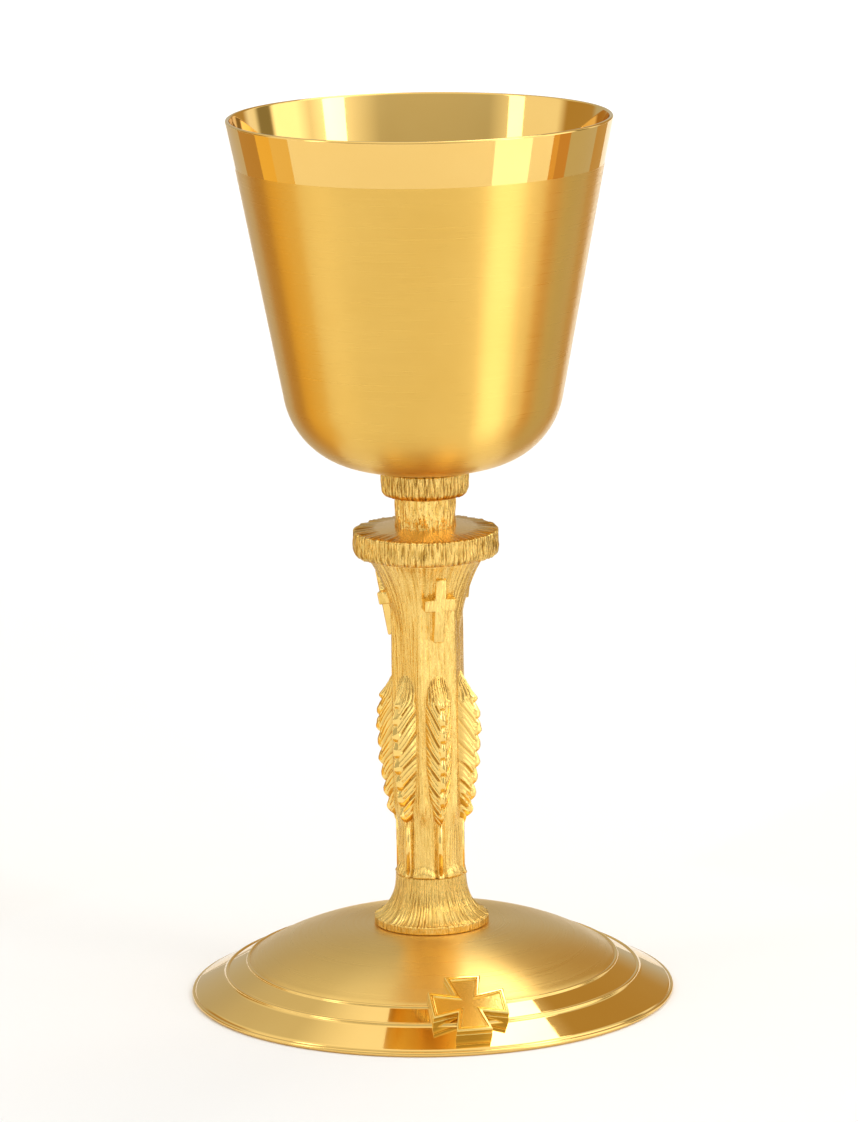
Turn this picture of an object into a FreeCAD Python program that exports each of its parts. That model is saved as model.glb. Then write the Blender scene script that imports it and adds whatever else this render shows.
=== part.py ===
import FreeCAD, Part
import math
import os
import re

import Sketcher
from FreeCAD import Placement, Rotation, Vector

# A gilded communion chalice: a spun cup that screws into a cast stem, which a tie
# rod holds down on a spun, domed base. Millimetres. The origin is the middle of
# the base on the surface that it stands on, +Z is up, and the front is -Y.

SIZES = {
    # the cup and what it screws in with
    "total_height": 210.0,
    "cup_rim_radius": 45.2,
    "cup_corner_radius": 30.83,
    "cup_corner_height": 133.443,
    "cup_corner_fillet": 20.0,
    "cup_bottom_height": 125.8,
    "cup_wall": 1.0,
    "cup_corner_inset": 0.894,
    "cup_corner_lift": 0.659,
    "cup_lip_slant": 1.017,
    "cup_lip_fillet": 0.4,
    "solder_gap": 0.05,
    "boss_radius": 6.4,
    "boss_height": 4.0,
    "boss_dish": 0.2,
    "thread_radius": 4.0,
    "thread_play": 0.05,
    "thread_engaged": 10.0,
    # the collar, the neck and the disc of the knop
    "collar_radius": 10.2,
    "collar_bore": 6.6,
    "collar_bottom": 120.5,
    "collar_top": 126.44,
    "collar_round": 2.0,
    "collar_seat_fall": 0.46,
    "neck_radius": 7.1,
    "disc_radius": 17.07,
    "disc_foot_radius": 15.2,
    "disc_bottom": 106.0,
    "disc_round_top": 107.9,
    "disc_top": 112.3,
    "disc_chamfer": 0.3,
    "bush_radius": 5.6,
    "bush_bottom": 100.0,
    "bush_flange_radius": 6.1,
    "bush_flange_thick": 2.0,
    "bush_play": 0.05,
    # the stem, whose facets are turned to the right of the cross on the base
    "stem_turn": 7.5,
    "column_bottom": 29.0,
    "shaft_radius": 7.3,
    "hexagon_bottom": 41.0,
    "hexagon_top": 94.0,
    "hexagon_radius": 9.05,
    "rod_bore": 4.3,
    "capital_bottom": 90.0,
    "capital_bottom_radius": 8.2,
    "capital_middle": 98.0,
    "capital_middle_radius": 10.1,
    "capital_top_radius": 13.8,
    "foot_radius": 13.6,
    "foot_band_top": 18.7,
    "foot_top_radius": 8.3,
    "foot_middle_radius": 9.6,
    "foot_middle_height": 23.0,
    # a wheat ear and its stalk
    "ear_bottom": 42.0,
    "ear_top": 78.0,
    "ear_radius": 3.6,
    "ear_axis": 8.2,
    "ear_lap": 0.84,
    "ear_row_step": 0.1,
    "ear_tip": 0.8,
    "stalk_width": 1.7,
    "stalk_depth": 8.3,
    "stem_overlap": 2.0,
    # a Latin cross on the stem
    "latin_bottom": 86.5,
    "latin_height": 16.0,
    "latin_bar_bottom": 7.9,
    "latin_bar_top": 10.9,
    "latin_width": 7.7,
    "latin_arm": 2.6,
    "latin_thick": 4.0,
    "latin_front": 9.2,
    "latin_lean": 10.5,
    # the base
    "base_radius": 57.6,
    "dome_seat_radius": 14.4,
    "dome_crown_radius": 28.0,
    "dome_crown_height": 15.0,
    "dome_shoulder_radius": 42.0,
    "dome_shoulder_height": 9.22,
    "dome_slope": 0.534,
    "dome_sheet": 1.2,
    "seat_height": 16.7,
    "wire_width": 1.3,
    "wire_height": 1.3,
    "wire_round": 0.55,
    "inner_ring_radius": 44.0,
    "outer_ring_radius": 49.1,
    "ring_wire": 0.42,
    # the cross on the base
    "cross_reach": 45.8,
    "cross_tilt": 28.1,
    "cross_size": 17.8,
    "cross_end_width": 8.6,
    "cross_waist": 5.6,
    "cross_layer": 1.5,
    "cross_border": 0.85,
    "cross_recess": 0.35,
    "cross_border_spread": 1.2,
    "cross_stud_radius": 0.8,
    "cross_stud_offset": 5.5,
    "cross_stud_bottom": -4.0,
    "cross_stud_length": 5.0,
    "cross_nut_top": -1.55,
    "cross_nut_radius": 1.9,
    "cross_nut_height": 1.4,
    # the rod, its nut and washers, and the dowels
    "rod_bottom": 4.6,
    "rod_end_gap": 1.0,
    "washer_radius": 12.0,
    "washer_thick": 2.0,
    "lock_radius": 7.2,
    "lock_thick": 1.2,
    "nut_flats": 13.0,
    "nut_height": 6.5,
    "dowel_radius": 1.0,
    "foot_dowel_reach": 10.0,
    "foot_dowel_length": 4.4,
    "column_dowel_reach": 6.2,
    "column_dowel_radius": 0.8,
    "column_dowel_length": 8.0,
    "knop_dowel_reach": 8.4,
    "knop_dowel_length": 7.0,
}

# facets of the stem, by the angle from the front towards the right
FACETS = {
    "front": 0,
    "front_right": 60,
    "back_right": 120,
    "back": 180,
    "back_left": 240,
    "front_left": 300,
}
LATIN_CROSSES = {"front": 0, "back_right": 120, "back_left": 240}
GRAIN_ROWS = 9
LIP_OF_ROW = 0.25

# how far round the middle of a quarter circle lies, as a share of its radius
MIDWAY = round(math.sqrt(0.5), 6)

doc = FreeCAD.newDocument("chalice")
sheet = doc.addObject("Spreadsheet::Sheet", "dims")
for row, (word, size) in enumerate(SIZES.items(), start=1):
    sheet.set(f"A{row}", word)
    sheet.set(f"B{row}", str(size))
    sheet.setAlias(f"B{row}", word)
probe = doc.addObject("App::FeaturePython", "probe")
doc.recompute()

nodes = {}


# ---------------------------------------------------------------- shared ways

def spelled(expression):
    """An expression in the sheet's words, as the document's objects spell it."""
    def prefixed(word):
        return "dims." + word.group() if word.group() in SIZES else word.group()

    return re.sub(r"[a-z_]+", prefixed, expression)


def worth(expression):
    """What an expression in the sheet's words comes to now."""
    return float(probe.evalExpression(spelled(expression)))


def pin(sketch, name, piece, end, x, y):
    """Fixes one point of a sketch at two expressions in the sheet's words."""
    for kind, axis, expression in (("X", -2, x), ("Y", -1, y)):
        if expression == "0":
            sketch.addConstraint(Sketcher.Constraint("PointOnObject", piece, end, axis))
            continue
        index = sketch.addConstraint(
            Sketcher.Constraint(
                "Distance" + kind, -1, 1, piece, end, worth(expression)
            )
        )
        sketch.renameConstraint(index, f"{name}_{kind.lower()}")
        sketch.setExpression(f"Constraints.{name}_{kind.lower()}", spelled(expression))


def outline(body, name, corners, arcs=None, plane="XZ_Plane"):
    """A closed outline on one of the body's planes. A side is straight unless arcs
    gives it, by its first corner, a point to pass through or the word "centred",
    for an arc about a point on the turning axis."""
    arcs = arcs or {}
    sketch = body.newObject("Sketcher::SketchObject", name)
    support = next(f for f in body.Origin.OriginFeatures if f.Role == plane)
    sketch.AttachmentSupport = [(support, "")]
    sketch.MapMode = "FlatFace"
    places = [Vector(worth(x), worth(y), 0) for x, y in corners]
    count = len(places)
    ends = []
    for i, start in enumerate(places):
        finish = places[(i + 1) % count]
        if i not in arcs:
            sketch.addGeometry(Part.LineSegment(start, finish))
            ends.append((1, 2))
            continue
        if arcs[i] == "centred":
            rise = (finish - start).y
            centre = ((finish.x**2 - start.x**2) / rise + finish.y + start.y) / 2
            radius = start.distanceToPoint(Vector(0, centre, 0))
            half_way = (start + finish) / 2 - Vector(0, centre, 0)
            middle = Vector(0, centre, 0) + half_way * (radius / half_way.Length)
        else:
            middle = Vector(worth(arcs[i][0]), worth(arcs[i][1]), 0)
        if (middle - start).cross(finish - middle).z > 0:
            sketch.addGeometry(Part.Arc(start, middle, finish))
            ends.append((1, 2))
        else:
            sketch.addGeometry(Part.Arc(finish, middle, start))
            ends.append((2, 1))
    for i in range(count):
        after = (i + 1) % count
        joined = Sketcher.Constraint("Coincident", i, ends[i][1], after, ends[after][0])
        sketch.addConstraint(joined)
        pin(sketch, f"corner{i}", i, ends[i][0], *corners[i])
    for i, through in arcs.items():
        if through == "centred":
            sketch.addConstraint(Sketcher.Constraint("PointOnObject", i, 3, -2))
            continue
        place = Vector(worth(through[0]), worth(through[1]), 0)
        point = sketch.addGeometry(Part.Point(place), True)
        sketch.addConstraint(Sketcher.Constraint("PointOnObject", point, 1, i))
        pin(sketch, f"through{i}", point, 1, *through)
    if sketch.solve() != 0:
        raise RuntimeError(f"the outline {name} can't be solved")
    return sketch


def new_body(name):
    return doc.addObject("PartDesign::Body", name)


def turn(body, sketch):
    """The outline turned a full circle about the vertical axis."""
    turned = body.newObject("PartDesign::Revolution", sketch.Name + "_turned")
    turned.Profile = sketch
    turned.ReferenceAxis = (sketch, ["V_Axis"])
    turned.Angle = 360
    return turned


def pad(body, sketch, length, taken_away=False):
    """The outline pulled out along its normal, as metal or as a pocket."""
    kind = "PartDesign::Pocket" if taken_away else "PartDesign::Pad"
    pulled = body.newObject(kind, sketch.Name + "_pulled")
    pulled.Profile = sketch
    pulled.setExpression("Length", spelled(length))
    return pulled


def turned_piece(name, corners, arcs=None):
    """A piece that is one turned outline."""
    body = new_body(name)
    turn(body, outline(body, name + "_outline", corners, arcs))
    return body


def cylinder(name, radius, height, bottom, x="0", y="0"):
    rod = doc.addObject("Part::Cylinder", name)
    rod.setExpression("Radius", spelled(radius))
    rod.setExpression("Height", spelled(height))
    rod.setExpression("Placement.Base.x", spelled(x))
    rod.setExpression("Placement.Base.y", spelled(y))
    rod.setExpression("Placement.Base.z", spelled(bottom))
    return rod


def hexagon(name, radius, height, bottom, turned="0"):
    prism = doc.addObject("Part::Prism", name)
    prism.Polygon = 6
    prism.Placement = Placement(Vector(), Rotation(Vector(0, 0, 1), worth(turned)))
    prism.setExpression("Circumradius", spelled(radius))
    prism.setExpression("Height", spelled(height))
    prism.setExpression("Placement.Base.z", spelled(bottom))
    return prism


def cut(name, base, tool):
    piece = doc.addObject("Part::Cut", name)
    piece.Base = base
    piece.Tool = tool
    return piece


def fused(name, *pieces):
    piece = doc.addObject("Part::MultiFuse", name)
    piece.Shapes = list(pieces)
    return piece


def group(name, *pieces):
    """Separate solids of one node."""
    piece = doc.addObject("Part::Compound", name)
    piece.Links = list(pieces)
    return piece


def node(label, piece):
    """Names a finished sub-part, whose shape is written to the file of that name."""
    piece.Label = label
    nodes[label] = piece
    return piece


def circle_edge(feature, radius, height):
    """The name of the round edge of that radius at that height."""
    for index, edge in enumerate(feature.Shape.Edges, start=1):
        if edge.Degenerated or not isinstance(edge.Curve, Part.Circle):
            continue
        curve = edge.Curve
        if abs(curve.Radius - radius) < 0.01 and abs(curve.Center.z - height) < 0.01:
            return f"Edge{index}"
    raise RuntimeError(f"no round edge of radius {radius} at height {height}")


# ------------------------------------------------------------------- the cup

def make_cup():
    """Spun from one sheet: a straight side that widens to the rim, a rounded
    corner and a shallow bowl of a bottom. The lip is rounded over."""
    body = new_body("cup_body")
    inner_radius = "cup_corner_radius - cup_wall * cup_corner_inset"
    inner_height = "cup_corner_height + cup_wall * cup_corner_lift"
    corners = [
        ("0", "cup_bottom_height"),
        ("cup_corner_radius", "cup_corner_height"),
        ("cup_rim_radius", "total_height"),
        ("cup_rim_radius - cup_wall * cup_lip_slant", "total_height"),
        (inner_radius, inner_height),
        ("0", "cup_bottom_height + cup_wall"),
    ]
    section = outline(body, "cup_outline", corners, {0: "centred", 4: "centred"})
    blank = turn(body, section)
    doc.recompute()
    edge = circle_edge(blank, worth("cup_corner_radius"), worth("cup_corner_height"))
    outer = rounded(body, "cup_corner", blank, [edge], "cup_corner_fillet")
    edge = circle_edge(outer, worth(inner_radius), worth(inner_height))
    inner = rounded(body, "cup_hollow", outer, [edge], "cup_corner_fillet - cup_wall")
    rim = worth("total_height")
    edges = [
        circle_edge(inner, worth("cup_rim_radius"), rim),
        circle_edge(inner, worth("cup_rim_radius - cup_wall * cup_lip_slant"), rim),
    ]
    rounded(body, "cup_lip", inner, edges, "cup_lip_fillet")
    return node("cup", body)


def rounded(body, name, feature, edges, radius):
    """The feature with some of its edges rounded."""
    fillet = body.newObject("PartDesign::Fillet", name)
    fillet.Base = (feature, edges)
    fillet.setExpression("Radius", spelled(radius))
    doc.recompute()
    return fillet


def make_cup_boss():
    """A turned brass boss, dished on top to the cup's bottom and soldered to it."""
    bottom = "cup_bottom_height - boss_height"
    fall = "cup_bottom_height - solder_gap"
    corners = [
        ("thread_radius", bottom),
        ("boss_radius", bottom),
        ("boss_radius", fall + " + boss_dish"),
        ("thread_radius", fall),
    ]
    return node("cup_boss", turned_piece("cup_boss_body", corners))


def make_cup_stud():
    """The M8 stud, soldered in the boss, that the cup screws down with."""
    stud = cylinder(
        "cup_stud_rod",
        "thread_radius - thread_play",
        "thread_engaged + cup_bottom_height - solder_gap - collar_bottom",
        "collar_bottom - thread_engaged",
    )
    return node("cup_stud", stud)


# ------------------------------------------- the collar, the neck and the disc

def make_cup_collar():
    """The ring between the neck and the cup, loose on the boss, with its lower
    edge rounded and its top coned to the cup's bottom."""
    corners = [
        ("collar_bore", "collar_bottom"),
        ("collar_radius - collar_round", "collar_bottom"),
        ("collar_radius", "collar_bottom + collar_round"),
        ("collar_radius", "collar_top"),
        ("collar_bore", "collar_top - collar_seat_fall"),
    ]
    round_edge = {
        1: (
            f"collar_radius - collar_round * (1 - {MIDWAY})",
            f"collar_bottom + collar_round * (1 - {MIDWAY})",
        )
    }
    return node("cup_collar", turned_piece("cup_collar_body", corners, round_edge))


def make_neck_sleeve():
    """The tube between the disc and the collar, with a step for the bush's flange."""
    step = "collar_bottom - bush_flange_thick"
    corners = [
        ("bush_radius + bush_play", "disc_top"),
        ("neck_radius", "disc_top"),
        ("neck_radius", "collar_bottom"),
        ("bush_flange_radius + bush_play", "collar_bottom"),
        ("bush_flange_radius + bush_play", step),
        ("bush_radius + bush_play", step),
    ]
    return node("neck_sleeve", turned_piece("neck_sleeve_body", corners))


def make_coupling_bush():
    """The flanged bush inside the neck. The tie rod screws into it from below and
    the cup's stud from above, and its flange clamps the stack."""
    step = "collar_bottom - bush_flange_thick"
    corners = [
        ("thread_radius", "bush_bottom"),
        ("bush_radius", "bush_bottom"),
        ("bush_radius", step),
        ("bush_flange_radius", step),
        ("bush_flange_radius", "collar_bottom"),
        ("thread_radius", "collar_bottom"),
    ]
    return node("coupling_bush", turned_piece("coupling_bush_body", corners))


def make_knop_disc():
    """The thick disc of the knop, rounded in below to the capital."""
    corners = [
        ("bush_radius + bush_play", "disc_bottom"),
        ("disc_foot_radius", "disc_bottom"),
        ("disc_radius", "disc_round_top"),
        ("disc_radius", "disc_top - disc_chamfer"),
        ("disc_radius - disc_chamfer", "disc_top"),
        ("bush_radius + bush_play", "disc_top"),
    ]
    round_edge = {
        1: (
            f"disc_foot_radius + {MIDWAY} * (disc_radius - disc_foot_radius)",
            f"disc_bottom + (1 - {MIDWAY}) * (disc_round_top - disc_bottom)",
        )
    }
    body = turned_piece("knop_disc_body", corners, round_edge)
    return node("knop_disc", cut("knop_disc_drilled", body, dowels("knop_hole", *KNOP_DOWEL)))


# --------------------------------------------------------------- the dowels

FOOT_DOWEL = (
    "dowel_radius",
    "foot_dowel_length",
    "seat_height - dome_sheet",
    "foot_dowel_reach",
)
COLUMN_DOWEL = (
    "column_dowel_radius",
    "column_dowel_length",
    "column_bottom - column_dowel_length / 2",
    "column_dowel_reach",
)
KNOP_DOWEL = (
    "dowel_radius",
    "knop_dowel_length",
    "disc_bottom - knop_dowel_length / 2",
    "knop_dowel_reach",
)


def dowels(name, radius, length, bottom, reach):
    """A pair of dowels, left and right of the axis. It serves as their holes too."""
    right = cylinder(name + "_right", radius, length, bottom, x=reach)
    left = cylinder(name + "_left", radius, length, bottom, x=f"-({reach})")
    return group(name, right, left)


# --------------------------------------------------------------- the stem

def make_stem_foot():
    """The flared foot of the stem, a bark-textured casting with an upright band
    where it stands on the base."""
    corners = [
        ("rod_bore", "seat_height"),
        ("foot_radius", "seat_height"),
        ("foot_radius", "foot_band_top"),
        ("foot_top_radius", "column_bottom"),
        ("rod_bore", "column_bottom"),
    ]
    flare = {2: ("foot_middle_radius", "foot_middle_height")}
    body = turned_piece("stem_foot_body", corners, flare)
    holes = fused(
        "stem_foot_holes",
        dowels("foot_hole_below", *FOOT_DOWEL),
        dowels("foot_hole_above", *COLUMN_DOWEL),
    )
    return node("stem_foot", cut("stem_foot_drilled", body, holes))


def make_stem_column():
    """The cast column: a round shaft behind the stalks, a hexagon behind the ears
    and above them, and a capital that flares from the hexagon to a circle."""
    shaft = cylinder(
        "column_shaft",
        "shaft_radius",
        "hexagon_bottom - column_bottom + stem_overlap",
        "column_bottom",
    )
    facets = hexagon(
        "column_facets",
        "hexagon_radius",
        "hexagon_top - hexagon_bottom",
        "hexagon_bottom",
        "stem_turn",
    )
    corners = [
        ("rod_bore", "capital_bottom"),
        ("capital_bottom_radius", "capital_bottom"),
        ("capital_top_radius", "disc_bottom"),
        ("rod_bore", "disc_bottom"),
    ]
    flare = {1: ("capital_middle_radius", "capital_middle")}
    capital = turned_piece("column_capital", corners, flare)
    metal = fused("column_metal", shaft, facets, capital)
    holes = fused(
        "column_holes",
        cylinder("column_bore", "rod_bore", "disc_bottom - column_bottom", "column_bottom"),
        cylinder(
            "column_bush_bore",
            "bush_radius + bush_play",
            "disc_bottom - bush_bottom + bush_play",
            "bush_bottom - bush_play",
        ),
        dowels("column_hole_below", *COLUMN_DOWEL),
        dowels("column_hole_above", *KNOP_DOWEL),
    )
    return node("stem_column", cut("stem_column_bored", metal, holes))


def facet_place(angle):
    """Turns a piece made at the front of the stem to the facet at that angle."""
    return Placement(Vector(), Rotation(Vector(0, 0, 1), angle + worth("stem_turn")))


def ear_girth(share):
    """How full an ear is at a share of its height, 1 at its thickest."""
    thickest = 0.66
    at_bottom = 0.45
    drawn_in = 0.75
    if share < thickest:
        swell = math.sin(math.pi / 2 * share / thickest)
        return at_bottom + (1 - at_bottom) * swell
    return math.cos(math.pi / 2 * drawn_in * (share - thickest) / (1 - thickest))


def make_wheat_ear(side, angle, column):
    """A cast ear of wheat and its stalk, soldered to one facet. Its rows of grain
    are cups that open upwards, each lapping the one above."""
    body = new_body(f"ear_body_{side}")
    corners = [("0", "ear_bottom")]
    row_height = f"(ear_top - ear_bottom) / {GRAIN_ROWS}"
    for row in range(GRAIN_ROWS):
        low, high = row / GRAIN_ROWS, (row + 1) / GRAIN_ROWS
        inside = f"ear_radius * ear_lap * {ear_girth(low):.4f}"
        outside = f"ear_radius * {ear_girth(high - LIP_OF_ROW / GRAIN_ROWS):.4f}"
        corners.append((inside, f"ear_bottom + {row} * {row_height} + ear_row_step"))
        corners.append((outside, f"ear_bottom + {row + 1} * {row_height}"))
    corners.append(("0", "ear_top + ear_tip"))
    turn(body, outline(body, f"ear_outline_{side}", corners))
    body.setExpression("Placement.Base.y", spelled("-ear_axis"))
    stalk = doc.addObject("Part::Box", f"stalk_{side}")
    stalk.setExpression("Length", spelled("stalk_width"))
    stalk.setExpression("Width", spelled("stalk_depth - shaft_radius + stem_overlap"))
    stalk.setExpression("Height", spelled("ear_bottom - column_bottom + stem_overlap"))
    stalk.setExpression("Placement.Base.x", spelled("-stalk_width / 2"))
    stalk.setExpression("Placement.Base.y", spelled("-stalk_depth"))
    stalk.setExpression("Placement.Base.z", spelled("column_bottom"))
    whole = fused(f"ear_and_stalk_{side}", body, stalk)
    whole.Placement = facet_place(angle)
    return node(f"wheat_ear_{side}", cut(f"ear_fitted_{side}", whole, column))


def make_latin_cross(side, angle, column):
    """A Latin cross soldered to the stem below the disc. It leans out with the
    capital, and its back is fitted to the column."""
    body = new_body(f"latin_body_{side}")
    arm = "latin_arm / 2"
    bar = "latin_width / 2"
    corners = [
        ("-" + arm, "0"),
        (arm, "0"),
        (arm, "latin_bar_bottom"),
        (bar, "latin_bar_bottom"),
        (bar, "latin_bar_top"),
        (arm, "latin_bar_top"),
        (arm, "latin_height"),
        ("-" + arm, "latin_height"),
        ("-" + arm, "latin_bar_top"),
        ("-" + bar, "latin_bar_top"),
        ("-" + bar, "latin_bar_bottom"),
        ("-" + arm, "latin_bar_bottom"),
    ]
    sketch = outline(body, f"latin_outline_{side}", corners)
    pulled = pad(body, sketch, "latin_thick")
    pulled.Reversed = True
    leaning = Rotation(Vector(1, 0, 0), worth("latin_lean"))
    front = Vector(0, -worth("latin_front"), worth("latin_bottom"))
    body.Placement = facet_place(angle).multiply(Placement(front, leaning))
    return node(f"stem_cross_{side}", cut(f"latin_fitted_{side}", body, column))


# ----------------------------------------------------------------- the base

def on_the_dome(reach, sheet_depth="0"):
    """The height of the dome's sloping side at a distance from the axis, or of its
    inner face there."""
    fall = f"dome_slope * ({reach} - dome_shoulder_radius)"
    return f"dome_shoulder_height - {fall} - {sheet_depth} * sqrt(1 + dome_slope ^ 2)"


def make_base_dome():
    """Spun from sheet and hollow beneath: a flat seat for the stem, a rounded crown
    and a straight side, on which two raised rings part the satin middle from the
    polished border."""
    body = new_body("base_dome_body")
    edge = "base_radius - wire_width"
    corners = [
        ("rod_bore", "seat_height - dome_sheet"),
        ("dome_seat_radius", "seat_height - dome_sheet"),
        ("dome_shoulder_radius", on_the_dome("dome_shoulder_radius", "dome_sheet")),
        (edge, on_the_dome(edge, "dome_sheet")),
        (edge, on_the_dome(edge)),
        ("dome_shoulder_radius", "dome_shoulder_height"),
        ("dome_seat_radius", "seat_height"),
        ("rod_bore", "seat_height"),
    ]
    crowns = {
        1: ("dome_crown_radius", "dome_crown_height - dome_sheet"),
        5: ("dome_crown_radius", "dome_crown_height"),
    }
    turn(body, outline(body, "dome_outline", corners, crowns))
    rings = body.newObject("Sketcher::SketchObject", "dome_rings")
    rings.AttachmentSupport = body.Group[0].AttachmentSupport
    rings.MapMode = "FlatFace"
    for index, reach in enumerate(("inner_ring_radius", "outer_ring_radius")):
        centre = Vector(worth(reach), worth(on_the_dome(reach)), 0)
        rings.addGeometry(Part.Circle(centre, Vector(0, 0, 1), worth("ring_wire")))
        girth = rings.addConstraint(
            Sketcher.Constraint("Radius", index, worth("ring_wire"))
        )
        rings.renameConstraint(girth, f"ring{index}")
        rings.setExpression(f"Constraints.ring{index}", spelled("ring_wire"))
        pin(rings, f"ring{index}", index, 3, reach, on_the_dome(reach))
    turn(body, rings)
    bolts = cross_studs("dome_cross_holes", "cross_stud_radius + bush_play")
    holes = fused("dome_holes", dowels("dome_dowel_holes", *FOOT_DOWEL), bolts)
    return node("base_dome", cut("base_dome_drilled", body, holes))


def make_base_edge_wire():
    """The wire around the edge of the dome, flat underneath where it stands and
    round on top and outside."""
    inside = "base_radius - wire_width"
    corners = [
        (inside, "0"),
        ("base_radius - wire_round", "0"),
        ("base_radius - wire_round", "wire_height"),
        (inside, "wire_height"),
    ]
    bulge = {1: ("base_radius", "wire_height / 2")}
    return node("base_edge_wire", turned_piece("base_edge_wire_body", corners, bulge))


def cross_place():
    """Where the cross lies on the dome, with its own +Z out of the metal."""
    reach = worth("cross_reach")
    middle = Vector(0, -reach, worth(on_the_dome("cross_reach")))
    return Placement(middle, Rotation(Vector(1, 0, 0), worth("cross_tilt")))


def negative(expression):
    return expression[1:] if expression.startswith("-") else "-" + expression


def cross_outline(body, name, inset):
    """A cross with four like arms that widen outwards, drawn in from its edge."""
    waist = f"(cross_waist / 2 - {inset})"
    end = f"(cross_end_width / 2 - {inset} * cross_border_spread)"
    reach = f"(cross_size / 2 - {inset})"
    arm = [(waist, "-" + waist), (reach, "-" + end), (reach, end)]
    corners = []
    for _ in range(4):
        corners += arm
        arm = [(negative(y), x) for x, y in arm]
    return outline(body, name, corners, plane="XY_Plane")


def on_the_cross(piece, across, above):
    """Places a piece square to the cross, so far to its side and above the dome."""
    offset = Vector(across, 0, above)
    piece.Placement = cross_place().multiply(Placement(offset, Rotation()))
    return piece


def cross_studs(name, radius):
    """Two studs square to the cross, through the dome. They serve as holes too."""
    studs = []
    for side, sign in (("left", -1), ("right", 1)):
        stud = doc.addObject("Part::Cylinder", f"{name}_{side}")
        stud.setExpression("Radius", spelled(radius))
        stud.setExpression("Height", spelled("cross_stud_length"))
        across = sign * worth("cross_stud_offset")
        studs.append(on_the_cross(stud, across, worth("cross_stud_bottom")))
    return group(name, *studs)


def make_base_cross():
    """Two plates soldered face to face: a back plate fitted to the dome and its
    rings, and a face plate with a raised border. Two nuts hold its studs."""
    blank = new_body("cross_back_body")
    pad(blank, cross_outline(blank, "cross_back_outline", "0"), "2 * cross_layer")
    on_the_cross(blank, 0, -worth("cross_layer"))
    below = new_body("cross_dome_body")
    floor = "-cross_size"
    wide = "base_radius + cross_size"
    corners = [
        ("0", floor),
        (wide, floor),
        (wide, on_the_dome(wide)),
        ("0", on_the_dome("0")),
    ]
    turn(below, outline(below, "cross_dome_outline", corners))
    under = fused("cross_underneath", below, nodes["base_dome"])
    fitted = cut("cross_back_fitted", blank, under)
    holes = cross_studs("cross_back_holes", "cross_stud_radius")
    node("base_cross_back", cut("cross_back_drilled", fitted, holes))

    face = new_body("cross_face_body")
    pad(face, cross_outline(face, "cross_face_outline", "0"), "cross_layer")
    field = cross_outline(face, "cross_field_outline", "cross_border")
    field.AttachmentOffset = Placement(Vector(0, 0, worth("cross_layer")), Rotation())
    pad(face, field, "cross_recess", taken_away=True)
    on_the_cross(face, 0, worth("cross_layer"))
    node("base_cross_face", face)

    studs = cross_studs("cross_studs_pair", "cross_stud_radius")
    node("base_cross_studs", studs)
    nuts = []
    for side, sign in (("left", -1), ("right", 1)):
        nut = doc.addObject("Part::Cylinder", f"cross_nut_{side}")
        nut.setExpression("Radius", spelled("cross_nut_radius"))
        nut.setExpression("Height", spelled("cross_nut_height"))
        bottom = worth("cross_nut_top - cross_nut_height")
        nuts.append(on_the_cross(nut, sign * worth("cross_stud_offset"), bottom))
    pair = group("cross_nut_pair", *nuts)
    bores = cross_studs("cross_nut_bores", "cross_stud_radius")
    node("base_cross_nuts", cut("cross_nuts_bored", pair, bores))


# ------------------------------------------------- the tie rod and what holds it

def ring(name, radius, bore, height, bottom):
    """A flat washer."""
    blank = cylinder(name + "_blank", radius, height, bottom)
    return cut(name + "_ring", blank, cylinder(name + "_bore", bore, height, bottom))


def make_clamp():
    """The tie rod from the bush down to the nut, and what the nut bears on: a wide
    washer under the dome and a lock washer."""
    bore = "thread_radius + thread_play"
    seat = "seat_height - dome_sheet"
    rod_top = "collar_bottom - thread_engaged - rod_end_gap"
    node(
        "tie_rod",
        cylinder(
            "tie_rod_bar", "thread_radius - thread_play", f"{rod_top} - rod_bottom", "rod_bottom"
        ),
    )
    washer_bottom = f"{seat} - washer_thick"
    wide = ring("washer", "washer_radius", bore, "washer_thick", washer_bottom)
    node("spreader_washer", wide)
    lock_bottom = f"{washer_bottom} - lock_thick"
    node("lock_washer", ring("lock", "lock_radius", bore, "lock_thick", lock_bottom))
    nut_bottom = f"{lock_bottom} - nut_height"
    blank = hexagon("nut_blank", "nut_flats / sqrt(3)", "nut_height", nut_bottom)
    threads = cylinder("nut_threads", bore, "nut_height", nut_bottom)
    node("base_nut", cut("nut_bored", blank, threads))


# ------------------------------------------------------------------ the chalice

make_cup()
make_cup_boss()
make_cup_stud()
make_cup_collar()
make_neck_sleeve()
make_coupling_bush()
make_knop_disc()
make_stem_foot()
stem_column = make_stem_column()
for side, angle in FACETS.items():
    make_wheat_ear(side, angle, stem_column)
for side, angle in LATIN_CROSSES.items():
    make_latin_cross(side, angle, stem_column)
make_base_dome()
make_base_edge_wire()
make_base_cross()
make_clamp()
node("foot_dowels", dowels("foot_dowel", *FOOT_DOWEL))
node("column_dowels", dowels("column_dowel", *COLUMN_DOWEL))
node("knop_dowels", dowels("knop_dowel", *KNOP_DOWEL))

doc.recompute()
for item in doc.Objects:
    if {"Invalid", "Error"} & set(item.State):
        raise RuntimeError(f"{item.Name} failed: {item.State}")
for label, piece in nodes.items():
    if piece.Shape.isNull() or not piece.Shape.isValid():
        raise RuntimeError(f"{label} has no valid shape")

os.makedirs("parts", exist_ok=True)
for label, piece in nodes.items():
    piece.Shape.exportStep(f"parts/{label}.step")
    volume = piece.Shape.Volume / 1000
    print(f"{label}: {len(piece.Shape.Solids)} solid(s), {volume:.2f} cm3")
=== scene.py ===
import bmesh
import bpy
import math
from mathutils import Matrix, Vector, noise


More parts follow.
